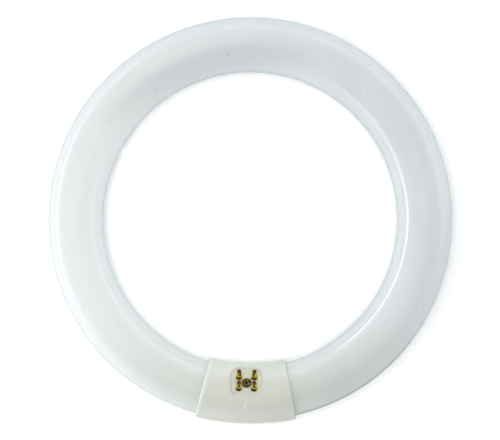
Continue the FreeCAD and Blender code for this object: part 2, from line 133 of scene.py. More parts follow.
# %% Finish
class Finish:
    """A material under construction, with its shader and a few named node steps."""

    def __init__(self, name):
        self.material = bpy.data.materials.new(name)
        self.material.use_nodes = True
        self.tree = self.material.node_tree
        self.shader = self.tree.nodes["Principled BSDF"]
        self.place = self.tree.nodes.new("ShaderNodeTexCoord").outputs["Object"]

    def set(self, **values):
        """Sets sockets of the shader that are the same all over; underscores stand for spaces."""
        for name, value in values.items():
            self.shader.inputs[name.replace("_", " ")].default_value = value

    def wire(self, output, socket):
        """Lets an output drive one of the shader's sockets."""
        self.tree.links.new(output, self.shader.inputs[socket])

    def grain(self, size, detail=3.0):
        """Cloudy noise, from 0 to 1, whose patches are about one size across."""
        noise = self.tree.nodes.new("ShaderNodeTexNoise")
        noise.inputs["Scale"].default_value = 1 / size
        noise.inputs["Detail"].default_value = detail
        self.tree.links.new(self.place, noise.inputs["Vector"])
        return noise.outputs["Fac"]

    def spread(self, value, start, end, low, high):
        """Maps a stretch of one value smoothly onto another, and holds it at both ends."""
        return smooth_range(self.tree, value, start, end, low, high)

    def blend(self, share, first, second):
        """Mixes two colours; each is a triple or the output of an earlier step."""
        return colour_mix(self.tree, share, first, second)

    def relief(self, *layers):
        """Fine relief from (height, depth in metres) layers, each laid over the one before."""
        normal = None
        for height, depth in layers:
            bump = self.tree.nodes.new("ShaderNodeBump")
            bump.inputs["Distance"].default_value = depth
            self.tree.links.new(height, bump.inputs["Height"])
            if normal:
                self.tree.links.new(normal, bump.inputs["Normal"])
            normal = bump.outputs["Normal"]
        self.wire(normal, "Normal")


def dress(piece, finish):
    """Gives a piece one finish all over, in the slots that it has."""
    if not piece.material_slots:
        piece.data.materials.append(None)
    for place in piece.material_slots:
        place.material = finish.material


print("finish steps: grain, spread, blend, relief")

# %% [markdown]
# The floor is a plain sheet of pale paper, far larger than the lamp so that no edge of it shows from low
# angles. A backdrop with a swept corner would do as well, but from above a flat sheet is all that is seen. It
# gets a faint tooth and a faint unevenness of tone, so that shadows fall on something real.

# %% Floor
FLOOR_HALF_WIDTH = 4.0
PAPER_SHADE = (0.955, 0.96, 0.96)
PAPER_WHITE = (0.975, 0.975, 0.975)
PAPER_CLOUD = 60 * MM
PAPER_TOOTH = 0.5 * MM
TOOTH_DEPTH = 0.02 * MM

corners = [(-1, -1), (1, -1), (1, 1), (-1, 1)]
floor_points = [(x * FLOOR_HALF_WIDTH, y * FLOOR_HALF_WIDTH, 0) for x, y in corners]
floor_mesh = bpy.data.meshes.new("floor")
floor_mesh.from_pydata(floor_points, [], [(0, 1, 2, 3)])
floor = bpy.data.objects.new("floor", floor_mesh)
bpy.context.scene.collection.objects.link(floor)

paper = Finish("pale_paper")
paper.set(Roughness=0.9, Specular_IOR_Level=0.1)
paper.wire(paper.blend(paper.grain(PAPER_CLOUD), PAPER_SHADE, PAPER_WHITE), "Base Color")
paper.relief((paper.grain(PAPER_TOOTH), TOOTH_DEPTH))
dress(floor, paper)
print("floor: %.0f m wide" % (2 * FLOOR_HALF_WIDTH))

# %% [markdown]
# White glass on white paper is lit softly from nearly everywhere. An even light would leave the tube flat, so
# the light leans. A large lamp overhead does most of the work. Smaller ones above the left, low on the near
# left, on the right and at the far right lift those sides, a very small one over the ring's middle lifts the
# inner side of the left bend, and the near right stays the darkest. All of them are kept out of mirror
# reflections, because the photograph shows no spots of them.

# %% Soft lamps
def soft_lamp(name, place, aim, width, height, watts, mirrored=False, lights=True, slant=0):
    """Rectangular lamp that shines from a place to an aim, turned about that way by a slant in degrees."""
    data = bpy.data.lights.new(name, "AREA")
    data.shape = "RECTANGLE"
    data.size = width
    data.size_y = height
    data.energy = watts
    lamp = bpy.data.objects.new(name, data)
    lamp.location = place
    facing = (Vector(aim) - Vector(place)).to_track_quat("-Z", "Y")
    lamp.rotation_euler = (facing @ Quaternion((0, 0, 1), math.radians(slant))).to_euler()
    lamp.visible_camera = False
    lamp.visible_glossy = mirrored
    lamp.visible_diffuse = lights
    bpy.context.scene.collection.objects.link(lamp)


soft_lamp("overhead", place=(0, -0.02, 1.30), aim=(0, -0.01, 0), width=0.6, height=0.6, watts=10.0)
soft_lamp("over_left", place=(-0.20, 0.01, 0.42), aim=(-0.14, 0.01, 0), width=0.3, height=0.3, watts=0.70)
soft_lamp("inner_left", place=(0.03, -0.03, 0.11), aim=(-0.085, -0.03, 0.085), width=0.2, height=0.08,
          watts=0.034)
soft_lamp("near_left", place=(-0.20, -0.28, 0.17), aim=(-0.06, -0.07, 0.02), width=0.25, height=0.2,
          watts=0.32)
soft_lamp("far_right", place=(0.42, 0.36, 0.22), aim=(0, 0, 0.02), width=0.5, height=0.2, watts=0.42)
soft_lamp("right_side", place=(0.62, 0, 0.30), aim=(0, 0, 0), width=0.6, height=0.3, watts=0.55)

# %% [markdown]
# Polished glass also mirrors what stands around it, drawn out to lines along the tube. Such lines could be
# painted on, but then they would stay put when one walks round the lamp. Here they are true reflections. The
# crisp line down the left side is a long, low strip lamp, and a softer strip above it, which isn't mirrored,
# evens out the light. The thin line inside the right bend is a short, narrow strip in the middle of the ring.
# It stands so close that its light would leave a streak, so it shows as a reflection only.

# %% Lamps that the glass mirrors
soft_lamp("left_strip", place=(-0.45, 0.05, 0.09), aim=(0, 0.05, 0.09), width=1.38, height=0.06, watts=0.75,
          mirrored=True)
soft_lamp("left_high", place=(-0.45, -0.10, 0.28), aim=(0, -0.05, 0.03), width=0.75, height=0.1, watts=0.42)
soft_lamp("line_strip", place=(-0.03, -0.003, 0.052), aim=(0.078, -0.003, 0.022), width=0.09, height=0.007,
          watts=0.0140, mirrored=True, lights=False, slant=19)

# %% [markdown]
# Around the lamps is a pale room: lightest on the right and on the far side, where windows would be, dim on
# the near side, and dark overhead, where the camera is. Metal is hardly more than a mirror, so without that
# dark ceiling the brass would look washed out. A ready-made sky could light the scene too, but then none of
# this could be set.

# %% Pale room
ROOM_WALLS = (1.20, 1.24, 1.28)
ROOM_WINDOW = (1.92, 1.96, 1.99)
ROOM_NEAR = (0.59, 0.61, 0.59)
ROOM_FAR = (1.86, 1.95, 2.01)
ROOM_CEILING = (0.05, 0.05, 0.05)
room = bpy.data.worlds.new("pale_room")
room.use_nodes = True
bpy.context.scene.world = room
room_tree = room.node_tree
direction = room_tree.nodes.new("ShaderNodeSeparateXYZ")
all_ways = room_tree.nodes.new("ShaderNodeTexCoord").outputs["Generated"]
room_tree.links.new(all_ways, direction.inputs["Vector"])


def room_blend(axis, start, end, first, second):
    """Blends two room colours along one axis, from a start to an end between -1 and 1."""
    share = smooth_range(room_tree, direction.outputs[axis], start, end, 0, 1)
    return colour_mix(room_tree, share, first, second)


walls = room_blend("X", start=0.0, end=1.0, first=ROOM_WALLS, second=ROOM_WINDOW)
walls = room_blend("Y", start=-0.8, end=0.1, first=ROOM_NEAR, second=walls)
walls = room_blend("Y", start=0.3, end=1.0, first=walls, second=ROOM_FAR)
all_round = room_blend("Z", start=0.1, end=0.75, first=walls, second=ROOM_CEILING)
room_tree.links.new(all_round, room_tree.nodes["Background"].inputs["Color"])
print("room: walls %.2f, window %.2f, ceiling %.2f" % (ROOM_WALLS[1], ROOM_WINDOW[1], ROOM_CEILING[1]))

# %% [markdown]
# The ring is one glass tube, bent hot into a circle and sealed at both ends. The construction model has it
# already, but its facets were made for measuring, so a finer skin of even four-sided faces takes its place:
# circles of points set along the ring and joined. A curve with a round bevel would be quicker, but it can't
# draw in towards the ends as the blown glass does, and it can't turn back into the hollow stem that carries
# the wires. Lengths are counted along the ring, from the middle of the base.

# %% Sizes of the glass
tube_radius = (glass_high.z - glass_low.z) / 2
ring_radius = glass_high.x - tube_radius
circumference = 2 * math.pi * ring_radius
NECK_RADIUS = 14.1 * MM
BEND_END = 18.0 * MM
NECK_END = 28.3 * MM
TAPER_END = 68.3 * MM
print("ring radius %.2f mm, tube radius %.2f mm" % (ring_radius / MM, tube_radius / MM))


def on_ring(length):
    """Middle of the tube at a length along the ring, with the ways outward and forward there."""
    angle = length / ring_radius
    outward = Vector((math.sin(angle), -math.cos(angle), 0))
    forward = Vector((math.cos(angle), math.sin(angle), 0))
    return outward * ring_radius + UP * ring_height, outward, forward


def radius_at(length):
    """Radius of the tube, which swells smoothly from its necks to its full size."""
    from_base = min(length, circumference - length)
    share = min(max((from_base - NECK_END) / (TAPER_END - NECK_END), 0), 1)
    return NECK_RADIUS + (tube_radius - NECK_RADIUS) * share * share * (3 - 2 * share)


# %% [markdown]
# Each end is closed by a rounded shoulder that turns back inwards as a flared stem, with the sealed stub of
# the pumping tube in its middle. None of it shows once the base is on, but a ring that stopped open would be
# no tube. The end is a turned shape, so a short list of radii along its axis describes it, with the round
# stretches worked out as arcs.

# %% Ends of the glass
SEAL_LENGTH = 6.0 * MM
SHOULDER = 4.0 * MM
STEM_MOUTH = 8.5 * MM
STEM_BORE = 4.8 * MM
STEM_FLARE = 4.0 * MM
STEM_DEPTH = 12.0 * MM
STUB_RADIUS = 1.6 * MM
STUB_LENGTH = 9.0 * MM
ARC_STEPS = 8


def end_circles():
    """(distance past the bend, radius) of each circle, from the shoulder into the stem and over its stub."""
    quarter = [math.pi / 2 * step / ARC_STEPS for step in range(ARC_STEPS + 1)]
    shoulder_start = SEAL_LENGTH - SHOULDER
    stem_bottom = SEAL_LENGTH - STEM_DEPTH
    dome_start = stem_bottom + STUB_LENGTH - STUB_RADIUS
    circles = []
    for turn in quarter:
        past = shoulder_start + SHOULDER * math.sin(turn)
        circles.append((past, NECK_RADIUS - SHOULDER * (1 - math.cos(turn))))
    circles.append((SEAL_LENGTH, STEM_MOUTH))
    circles.append((SEAL_LENGTH - STEM_FLARE, STEM_BORE))
    circles.append((stem_bottom, STEM_BORE))
    circles.append((stem_bottom, STUB_RADIUS))
    for turn in quarter[:-1]:
        circles.append((dome_start + STUB_RADIUS * math.sin(turn), STUB_RADIUS * math.cos(turn)))
    return circles, dome_start + STUB_RADIUS


end_profile, stub_tip = end_circles()
print("each end: %d circles, stub tip %.1f mm past the bend" % (len(end_profile), stub_tip / MM))

# %% [markdown]
# Now the circles are set out in order: from the stub of one end, round the ring, to the stub of the other.
# Each is noted by its middle, the way outward and its radius, which is all that a circle standing across the
# tube needs.

# %% Circles along the tube
RING_STEPS = 300


def glass_circles():
    """(middle, outward, radius) of every circle along the whole tube, and the two stub tips."""
    first, first_out, first_way = on_ring(BEND_END)
    last, last_out, last_way = on_ring(circumference - BEND_END)
    circles = [(first - first_way * past, first_out, radius) for past, radius in reversed(end_profile)]
    for step in range(RING_STEPS + 1):
        length = BEND_END + (circumference - 2 * BEND_END) * step / RING_STEPS
        middle, outward, _ = on_ring(length)
        circles.append((middle, outward, radius_at(length)))
    circles += [(last + last_way * past, last_out, radius) for past, radius in end_profile]
    return circles, first - first_way * stub_tip, last + last_way * stub_tip


tube_circles, first_tip, last_tip = glass_circles()
print("circles along the tube: %d" % len(tube_circles))

# %% [markdown]
# Every neighbouring pair of circles is joined by a band of four-sided faces, and the two stubs are closed by
# a fan of triangles round their tips. The skin is shaded smooth, apart from the few true edges inside the
# stems, which are found by their angle. The new ring stands in for the plain one of the construction model.

# %% Glass ring
RING_SIDES = 144
TRUE_EDGE = math.radians(35)


def circle_points(middle, outward, radius):
    """Points of one circle that stands across the tube."""
    turns = [2 * math.pi * side / RING_SIDES for side in range(RING_SIDES)]
    return [middle + (outward * math.cos(turn) + UP * math.sin(turn)) * radius for turn in turns]


def skin(name, circles, first_tip, last_tip):
    """Closed mesh over circles that follow each other."""
    points = []
    for circle in circles:
        points += circle_points(*circle)
    faces = []
    for ring in range(len(circles) - 1):
        here = ring * RING_SIDES
        there = here + RING_SIDES
        for side in range(RING_SIDES):
            after = (side + 1) % RING_SIDES
            faces.append((here + side, there + side, there + after, here + after))
    tips = len(points)
    points += [first_tip, last_tip]
    last_ring = (len(circles) - 1) * RING_SIDES
    for side in range(RING_SIDES):
        after = (side + 1) % RING_SIDES
        faces.append((tips, side, after))
        faces.append((tips + 1, last_ring + after, last_ring + side))
    mesh = bpy.data.meshes.new(name)
    mesh.from_pydata(points, [], faces)
    mesh.shade_smooth()
    mesh.set_sharp_from_angle(angle=TRUE_EDGE)
    piece = bpy.data.objects.new(name, mesh)
    bpy.context.scene.collection.objects.link(piece)
    return piece


glass_ring = skin("glass_ring", tube_circles, first_tip, last_tip)
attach(glass_ring, "root")
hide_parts("glass_tube")
print("glass ring: %d faces" % len(glass_ring.data.polygons))

# %% [markdown]
# Used things change colour by place: where they were hot, touched or in the light. Here some places are also
# painted lighter or darker to stand for light and shade. So the finishes of the lamp need a few more steps,
# which measure how far a point lies along a direction or from a point, and which way the surface faces there.
# They could be painted by hand as masks, but a measured place needs no image and stays sharp at any distance.

# %% Finish that changes by place
class PlacedFinish(Finish):
    """A finish that can also follow places on the lamp and the way its surface faces."""

    def combine(self, operation, first, second):
        """One sum on two values; the second may be a plain number."""
        step = self.tree.nodes.new("ShaderNodeMath")
        step.operation = operation
        self.tree.links.new(first, step.inputs[0])
        if isinstance(second, (int, float)):
            step.inputs[1].default_value = second
        else:
            self.tree.links.new(second, step.inputs[1])
        return step.outputs[0]

    def compare(self, operation, vector, fixed):
        """A vector step between something measured and a fixed vector."""
        step = self.tree.nodes.new("ShaderNodeVectorMath")
        step.operation = operation
        step.inputs[1].default_value = fixed
        self.tree.links.new(vector, step.inputs[0])
        return step

    def along(self, origin, way):
        """Distance of a point from an origin, measured along one way."""
        shift = self.compare("SUBTRACT", self.place, origin).outputs["Vector"]
        return self.compare("DOT_PRODUCT", shift, way).outputs["Value"]

    def away(self, origin):
        """Straight distance of a point from an origin."""
        return self.compare("DISTANCE", self.place, origin).outputs["Value"]

    def nearest(self, points):
        """Straight distance from the nearest of a few points."""
        least = self.away(points[0])
        for point in points[1:]:
            least = self.combine("MINIMUM", least, self.away(point))
        return least

    def facing(self, way):
        """How far the surface faces one way: 1 straight towards it, 0 side on."""
        normal = self.tree.nodes.new("ShaderNodeNewGeometry").outputs["Normal"]
        return self.compare("DOT_PRODUCT", normal, way).outputs["Value"]


print("further steps: combine, along, away, nearest, facing")

# %% [markdown]
# The white is a powder coat on the inside of clear glass. Two skins, clear over white, would be the literal
# way, but a glass wall this thin bends light so that the coat seems to reach the very edge. One surface with
# a matt colour under a polished gloss gives the same look and stays quiet in the render. The powder lies a
# little unevenly, in clouds a few centimetres wide with a fine grain. On the left, where the light falls
# strongest, the coat is painted a lighter, more neutral white as painted light. Towards the hot ends by the
# base it yellows and greys, partly from their heat and partly as painted shade, most of all along the crest,
# and the inner side of the far bend is painted greyer as painted shade. Noise seldom leaves the middle of its
# range, so that stretch is spread over the whole.

# %% Powder coat
THIN_POWDER = (0.510, 0.540, 0.548)
FULL_POWDER = (0.540, 0.568, 0.577)
LIT_LEFT_WHITE = (0.536, 0.551, 0.554)
HEATED_AND_SHADED_WHITE = (0.430, 0.447, 0.415)
SHADED_INNER_WHITE = (0.440, 0.466, 0.472)
CLOUD_SIZE = 28 * MM
POWDER_GRAIN = 0.7 * MM
CLOUD_SHARE = 0.7
USUAL_NOISE = (0.3, 0.7)
RING_MIDDLE = Vector((0, 0, ring_height))
BASE_MIDDLE = Vector((0, -ring_radius, ring_height))
LEFT_WAY = Vector((-1, 0, 0))
LEFT_FADE = (-30 * MM, 70 * MM)
LEFT_SHARE = 0.9
HEAT_AND_SHADE_FADE = (15 * MM, 105 * MM)
CREST_FACING = (0.80, 1.0)
HEAT_AND_SHADE_BESIDE_CREST = 0.55
FAR_WAY = Vector((-0.31, 0.95, 0))
FAR_FADE = (60 * MM, 85 * MM)
INNER_FACING = (-0.30, 0.3)

glass = PlacedFinish("coated_glass")
clouds = glass.combine("MULTIPLY", glass.grain(CLOUD_SIZE), CLOUD_SHARE)
fine_grain = glass.combine("MULTIPLY", glass.grain(POWDER_GRAIN), 1 - CLOUD_SHARE)
powder = glass.spread(glass.combine("ADD", clouds, fine_grain), *USUAL_NOISE, 0, 1)
coat = glass.blend(powder, THIN_POWDER, FULL_POWDER)
# painted light: the strongly lit left side is made a lighter, more neutral white
lit_left_side = glass.spread(glass.along(RING_MIDDLE, LEFT_WAY), *LEFT_FADE, 0, LEFT_SHARE)
coat = glass.blend(lit_left_side, coat, LIT_LEFT_WHITE)
# partly heat colour, partly painted shade: darker and yellower towards the base ends, most on the crest
hot_and_shaded_end = glass.spread(glass.away(BASE_MIDDLE), *HEAT_AND_SHADE_FADE, 1, 0)
crest = glass.spread(glass.facing(UP), *CREST_FACING, HEAT_AND_SHADE_BESIDE_CREST, 1)
coat = glass.blend(glass.combine("MULTIPLY", hot_and_shaded_end, crest), coat, HEATED_AND_SHADED_WHITE)
# painted shade: the inner side of the far bend is made greyer
far_bend = glass.spread(glass.along(RING_MIDDLE, FAR_WAY), *FAR_FADE, 0, 1)
inner_side = glass.spread(glass.facing(-FAR_WAY), *INNER_FACING, 0, 1)
coat = glass.blend(glass.combine("MULTIPLY", far_bend, inner_side), coat, SHADED_INNER_WHITE)
print("powder coat: clouds of %.0f mm, grain of %.1f mm" % (CLOUD_SIZE / MM, POWDER_GRAIN / MM))

# %% [markdown]
# At the very edge one looks along the glass wall instead of through it, and the glass shows its own colour
# there as a thin, faint blue line nearly all round. At the near right that line is painted a darker grey
# instead, as painted shade, standing for the shadowed floor that the rim mirrors there. The layer weight
# node tells how far the glass turns away from the eye, from 0 face on to 1 edge on, so it suits the rim of
# anything made of glass. A dark line would vanish under a full gloss, so the gloss gives way at the edge.
# The polish is nearly perfect, and very long, shallow waves are left in it from the bending.

# %% Clear glass over the coat
GLASS_IOR = 1.5
BLUE_EDGE = (0.36, 0.44, 0.49)
SHADED_GREY_EDGE = (0.20, 0.25, 0.24)
EVEN_BLEND = 0.5
EDGE_TURN = (0.50, 0.86)
NEAR_RIGHT_WAY = Vector((0.5, -0.87, 0))
NEAR_RIGHT_FADE = (92 * MM, 102 * MM)
FULL_GLOSS = 0.5
EDGE_GLOSS = 0.08
POLISH_PATCH = 9 * MM
POLISH_NOISE = (0.35, 0.7)
POLISH_ROUGHNESS = (0.04, 0.08)
WAVE_SIZE = 35 * MM
WAVE_DEPTH = 0.02 * MM

turned_away = glass.tree.nodes.new("ShaderNodeLayerWeight")
turned_away.inputs["Blend"].default_value = EVEN_BLEND
edge_on = glass.spread(turned_away.outputs["Facing"], *EDGE_TURN, 0, 1)
# painted shade: the edge line turns dark grey at the near right
near_right_shade = glass.spread(glass.along(RING_MIDDLE, NEAR_RIGHT_WAY), *NEAR_RIGHT_FADE, 0, 1)
edge_tint_and_shade = glass.blend(near_right_shade, BLUE_EDGE, SHADED_GREY_EDGE)
glass.wire(glass.blend(edge_on, coat, edge_tint_and_shade), "Base Color")
glass.set(IOR=GLASS_IOR)
glass.wire(glass.spread(edge_on, 0, 1, FULL_GLOSS, EDGE_GLOSS), "Specular IOR Level")
polish = glass.spread(glass.grain(POLISH_PATCH), *POLISH_NOISE, *POLISH_ROUGHNESS)
glass.wire(polish, "Roughness")
glass.relief((glass.grain(WAVE_SIZE, detail=1.0), WAVE_DEPTH))
dress(glass_ring, glass)
print("coated glass: matt coat under a gloss of IOR %.1f" % GLASS_IOR)

# %% [markdown]
# A few specks of dust lie on the glass in the photograph. They could be painted into the glass as dark dots,
# but then a low view would show flat spots. Each is a tiny crumb instead, pressed flat against the surface,
# at the place where the photograph has it: an angle round the ring in degrees, counted from the right, a
# place across the tube, from -1 at the inner edge to 1 at the outer edge, and a size in millimetres.

# %% Dust specks
DUST = [
    (125.4, 0.81, 0.85), (130.5, 0.86, 0.50), (98.8, -0.39, 0.75), (127.1, -0.59, 0.65),
    (146.4, -0.21, 0.50), (136.0, -0.85, 0.45), (53.5, 0.69, 0.60), (48.8, -0.11, 0.50),
    (46.5, 0.14, 0.55), (53.9, -0.44, 0.45), (41.4, 0.73, 0.40), (215.6, -0.12, 0.60),
    (225.3, 0.28, 0.45), (185.0, -0.42, 0.45), (333.8, 0.69, 0.60), (324.5, -0.28, 0.40),
]
DUST_SEED = 7
CRUMB_STRETCH = (0.8, 1.3)
CRUMB_FLATNESS = 0.35
CRUMB_ROUGHNESS = 0.3


def crumb(mesh, place, normal, size, chance):
    """Adds one flattened, uneven crumb to a mesh under construction."""
    made = bmesh.ops.create_icosphere(mesh, subdivisions=2, radius=size / 2)["verts"]
    spin = normal.to_track_quat("Z", "X")
    stretch = chance.uniform(*CRUMB_STRETCH)
    for point in made:
        uneven = 1 + CRUMB_ROUGHNESS * chance.uniform(-1, 1)
        flat = Vector((point.co.x * stretch, point.co.y / stretch, point.co.z * CRUMB_FLATNESS))
        point.co = place + spin @ (flat * uneven)


chance = random.Random(DUST_SEED)
crumbs = bmesh.new()
for angle, across, size in DUST:
    length = (math.radians(angle) + math.pi / 2) % (2 * math.pi) * ring_radius
    middle, outward, _ = on_ring(length)
    normal = outward * across + UP * math.sqrt(1 - across * across)
    crumb(crumbs, middle + normal * radius_at(length), normal, size * MM, chance)
dust_mesh = bpy.data.meshes.new("dust_specks")
crumbs.to_mesh(dust_mesh)
crumbs.free()
dust = bpy.data.objects.new("dust_specks", dust_mesh)
bpy.context.scene.collection.objects.link(dust)
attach(dust, "root")
print("dust: %d specks" % len(DUST))

# %% [markdown]
# House dust is a grey-brown felt of fibres and soot. It is quite matt, with a fine unevenness in colour and
# height, so the simple finish of the floor will do, in darker colours.

# %% Grey dust
DARK_DUST = (0.16, 0.12, 0.10)
PALE_DUST = (0.34, 0.29, 0.26)
DUST_PATCH = 0.2 * MM
DUST_FIBRE = 0.1 * MM
FIBRE_DEPTH = 0.02 * MM
grime = Finish("grey_dust")
grime.set(Roughness=0.95, Specular_IOR_Level=0.2)
grime.wire(grime.blend(grime.grain(DUST_PATCH), DARK_DUST, PALE_DUST), "Base Color")
grime.relief((grime.grain(DUST_FIBRE), FIBRE_DEPTH))
dress(dust, grime)
print("dust finish: %s" % grime.material.name)

# %% [markdown]
# The pins, the pocket that they stand in and the screw between them all lean over by the same angle. The
# mounts in the part's record give each pin's middle and direction, so the places needed for stains and marks
# follow from them and no angle has to be typed in again.

# %% Places on the base
FLANGE_HEIGHT = 1.1 * MM
pins = [mount for mount in frame["record"]["mounts"] if mount["name"].startswith("contact_pin")]
pin_way = Vector(pins[0]["axis"])
pin_radius = pins[0]["dims"]["r_mm"] * MM
wall_height = pins[0]["dims"]["length_mm"] * MM
foot_drop = FLANGE_HEIGHT + wall_height / 2
along_base = Vector((1, 0, 0))
across_base = pin_way.cross(along_base)
pins_middle = sum((Vector(pin["pos_m"]) for pin in pins), Vector()) / len(pins)
pocket_floor = pins_middle - pin_way * foot_drop
print("pocket floor at", [round(value / MM, 2) for value in pocket_floor], "mm")

# %% [markdown]
# The base is moulded in two halves from a warm white plastic. Their shape comes from the construction model
# and is right as it is, so they only need a finish. Its tone drifts a little over the surface. The upper side
# and the floor of the pocket are painted darker and a little yellower, as painted shade, while the pocket's
# sides and the thin wall round it are painted paler, as painted light, standing for light that comes through
# the thin plastic. Each of these could be a material of its own, but then the borders would be hard. Blends
# that follow the place keep them soft.

# %% Tone of the plastic
DARKER_TONE = (0.451, 0.468, 0.430)
LIGHTER_TONE = (0.488, 0.504, 0.467)
SHADED_UPPER_TONE = (0.424, 0.436, 0.390)
SHADED_POCKET_TONE = (0.448, 0.458, 0.392)
LIT_POCKET_SIDE_TONE = (0.530, 0.540, 0.460)
LIT_THIN_WALL_TONE = (0.68, 0.69, 0.62)
DRIFT_SIZE = 12 * MM
SPECKLE_SIZE = 0.8 * MM
DRIFT_SHARE = 0.65
UPPER_FACING = (0.75, 0.98)
POCKET_FADE = (7.5 * MM, 9.5 * MM)
POCKET_SIDE_FADE = ((4.5 * MM) ** 2, (7.0 * MM) ** 2)
STEEP_FACING = (0.35, 0.80)
THIN_WALL_FADE = (9.8 * MM, 10.6 * MM)

plastic = PlacedFinish("warm_white_moulding")
drift = plastic.combine("MULTIPLY", plastic.grain(DRIFT_SIZE), DRIFT_SHARE)
speckle = plastic.combine("MULTIPLY", plastic.grain(SPECKLE_SIZE), 1 - DRIFT_SHARE)
unevenness = plastic.spread(plastic.combine("ADD", drift, speckle), *USUAL_NOISE, 0, 1)
tone = plastic.blend(unevenness, DARKER_TONE, LIGHTER_TONE)
# painted shade: the upward-facing side is made darker
shaded_upper_side = plastic.spread(plastic.facing(UP), *UPPER_FACING, 0, 1)
tone = plastic.blend(shaded_upper_side, tone, SHADED_UPPER_TONE)
from_pocket = plastic.away(pocket_floor)
# painted shade: the floor of the pocket is made darker
in_pocket = plastic.spread(from_pocket, *POCKET_FADE, 1, 0)
tone = plastic.blend(in_pocket, tone, SHADED_POCKET_TONE)
# painted light: the pocket's sides are made paler
sideways = plastic.along(pocket_floor, along_base)
sideways_squared = plastic.combine("MULTIPLY", sideways, sideways)
pocket_side = plastic.spread(sideways_squared, *POCKET_SIDE_FADE, 0, 1)
tone = plastic.blend(plastic.combine("MULTIPLY", pocket_side, in_pocket), tone, LIT_POCKET_SIDE_TONE)
# painted light: the steep thin wall round the pocket is made paler
steep = plastic.spread(plastic.facing(pin_way), *STEEP_FACING, 1, 0)
by_pocket = plastic.spread(from_pocket, *THIN_WALL_FADE, 1, 0)
tone = plastic.blend(plastic.combine("MULTIPLY", steep, by_pocket), tone, LIT_THIN_WALL_TONE)
print("plastic tone: drift of %.0f mm, speckle of %.1f mm" % (DRIFT_SIZE / MM, SPECKLE_SIZE / MM))

# %% [markdown]
# Two more places are left. The lip at the left end of the base is painted paler, as a painted highlight where
# the light from the left catches it, so the tone changes over the last two millimetres before that end,
# measured from the middle of the base's bend. On the outer side a scar of two short strokes shows where the
# skin was scratched; its relief is shallow, and its pale colour is partly a painted highlight. A stroke could
# be cut into the mesh, but it is hardly deeper than a hair, so a row of points along each stroke marks its
# place for colour and relief.

# %% Lip highlight and scar on the base
SCAR_STROKES = [((0.1, -95.1, 31.5), (-1.1, -96.6, 31.0)), ((-0.2, -96.8, 30.9), (-0.5, -98.4, 30.2))]
STROKE_POINTS = 4
BEND_MIDDLE = Vector((0, 16.9, 0)) * MM
LIP_WAY = Vector((-0.977, 0.214, 0))
LIP_FADE = (-2.2 * MM, -0.3 * MM)
LIP_HIGHLIGHT_TONE = (0.535, 0.550, 0.525)
SCAR_FADE = (0.12 * MM, 0.42 * MM)
SCAR_AND_HIGHLIGHT_TONE = (0.60, 0.61, 0.59)

scar = []
for first, last in SCAR_STROKES:
    for step in range(STROKE_POINTS):
        scar.append(Vector(first).lerp(Vector(last), step / (STROKE_POINTS - 1)) * MM)
# painted highlight: the left end lip is made paler
lip_highlight = plastic.spread(plastic.along(BEND_MIDDLE, LIP_WAY), *LIP_FADE, 0, 1)
tone = plastic.blend(lip_highlight, tone, LIP_HIGHLIGHT_TONE)
# partly painted highlight: the scar's strokes are made pale
scar_and_highlight = plastic.spread(plastic.nearest(scar), *SCAR_FADE, 1, 0)
plastic.wire(plastic.blend(scar_and_highlight, tone, SCAR_AND_HIGHLIGHT_TONE), "Base Color")
print("scar: %d points along %d strokes" % (len(scar), len(SCAR_STROKES)))

# %% [markdown]
# The mould was finely blasted, so the plastic has a satin skin: neither matt nor glossy, with a texture that
# is felt more than seen. Roughness sets the satin, and a shallow relief of a quarter of a millimetre across
# gives the texture, with the scar laid over it.

# %% Satin skin of the plastic
PLASTIC_IOR = 1.5
SATIN_PATCH = 2 * MM
SATIN_ROUGHNESS = (0.36, 0.46)
TEXTURE_SIZE = 0.25 * MM
TEXTURE_DEPTH = 0.006 * MM
SCAR_DEPTH = 0.05 * MM
plastic.set(IOR=PLASTIC_IOR)
satin = plastic.spread(plastic.grain(SATIN_PATCH), *USUAL_NOISE, *SATIN_ROUGHNESS)
plastic.wire(satin, "Roughness")
plastic.relief((plastic.grain(TEXTURE_SIZE, detail=2.0), TEXTURE_DEPTH), (scar_and_highlight, SCAR_DEPTH))
base_halves = ("base_front", "base_rear")
for half in base_halves:
    dress(nodes[half], plastic)
print("plastic on:", ", ".join(base_halves))

# %% [markdown]
# The pins are hollow brass, crimped onto the wires by a dent in the side of each. The dents, and a little
# below them, are painted black as painted shade, and the foot and near side of each flange are painted brown
# as painted shade. Their places are worked out from the mounts, so that they follow the pins: a few points
# down each dent, and two points beside each flange.

# %% Dents and shaded flanges
DENT_HEIGHT = 5.5 * MM
DENT_POINTS = (-1.25 * MM, -0.65 * MM, 0, 0.6 * MM)
DENT_TURN = {"inner": math.radians(33), "outer": 0}
SHADE_SIDES = (math.radians(-130), math.radians(-72))
SHADE_DISTANCE = 2.6 * MM
dents = []
flange_shade_points = []
for pin in pins:
    foot = Vector(pin["pos_m"]) - pin_way * foot_drop
    turn = DENT_TURN["inner" if "inner" in pin["name"] else "outer"]
    inward = -1 if foot.x > 0 else 1
    dent_way = along_base * (inward * math.sin(turn)) - across_base * math.cos(turn)
    dent = foot + pin_way * DENT_HEIGHT + dent_way * pin_radius
    dents += [dent + pin_way * step for step in DENT_POINTS]
    # points on the near side of each flange, where painted shade goes
    for side in SHADE_SIDES:
        shade_way = along_base * math.cos(side) + across_base * math.sin(side)
        flange_shade_points.append(foot + shade_way * SHADE_DISTANCE)
print("%d points in the dents, %d beside the flanges" % (len(dents), len(flange_shade_points)))

# %% [markdown]
# New brass is a clean yellow, but these pins have turned olive, with brown where heat has been at the open
# tips. Round the foot of each flange and on its near side the brass is painted dark brown as painted shade,
# and the dents are painted black as painted shade. The colour follows the height above the pocket's floor,
# measured along the pins, and the distance from the dents and the shaded flange sides. It is broken up by
# grain, so that no pin matches another.

